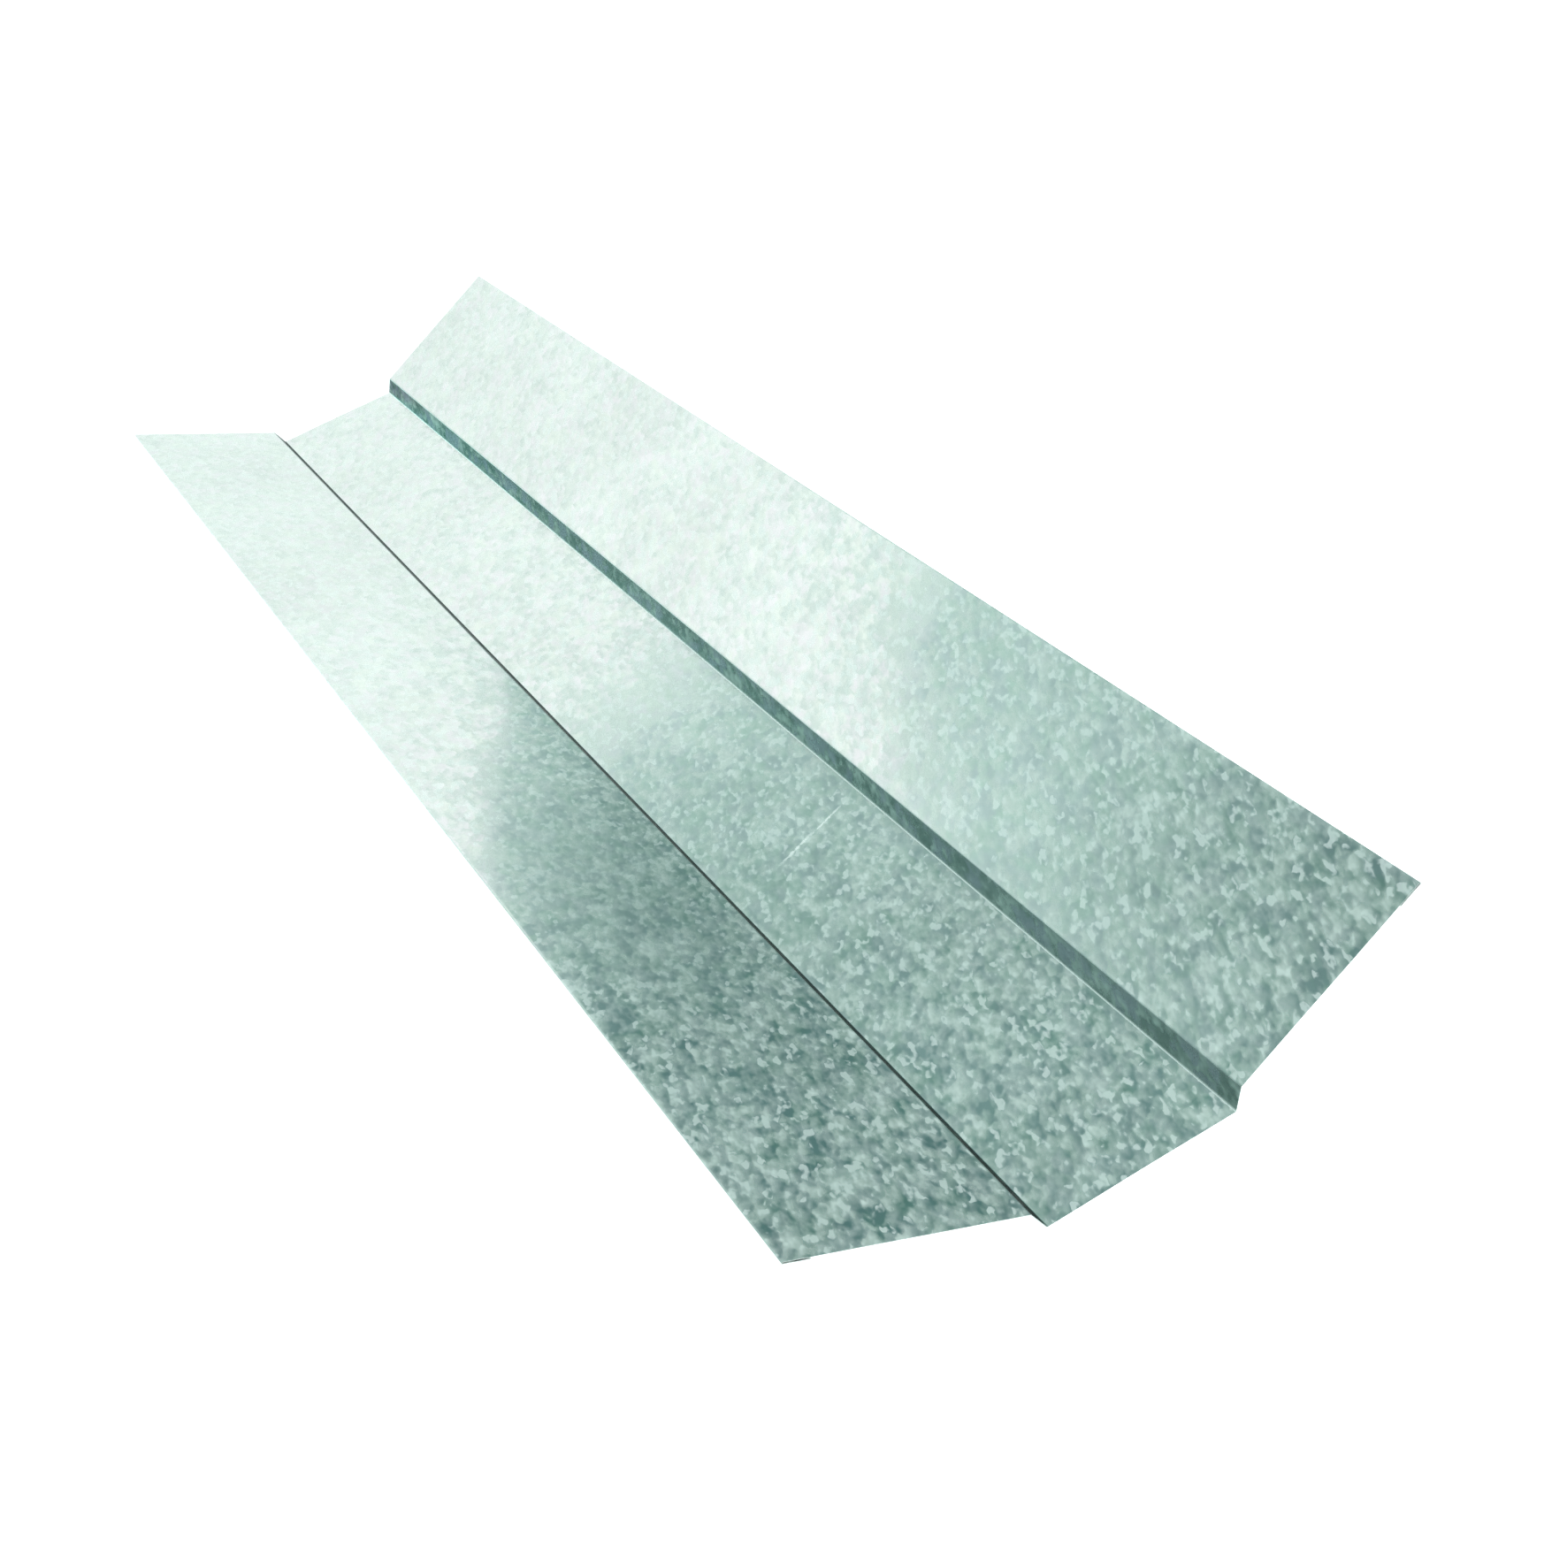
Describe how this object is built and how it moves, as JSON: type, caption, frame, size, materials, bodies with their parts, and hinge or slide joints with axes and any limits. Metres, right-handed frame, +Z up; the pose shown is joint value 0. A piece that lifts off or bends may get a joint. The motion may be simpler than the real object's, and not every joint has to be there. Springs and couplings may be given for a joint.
{
  "type": "valley flashing",
  "caption": "Long folded sheet of galvanised steel that lines a roof valley: a flat water channel between low risers, and wide sloping wings with hemmed edges.",
  "frame": {"origin": "on the underside of the pan, in the middle of the length and of the width", "axes": "+Y runs along the valley, +X across it towards one wing, and +Z up out of the valley's open side"},
  "size_m": [0.5224, 2, 0.0986],
  "materials": {
    "galvanised_steel": "satin"
  },
  "bodies": {
    "root": {"valley_sheet": "galvanised_steel"}
  },
  "joints": []
}
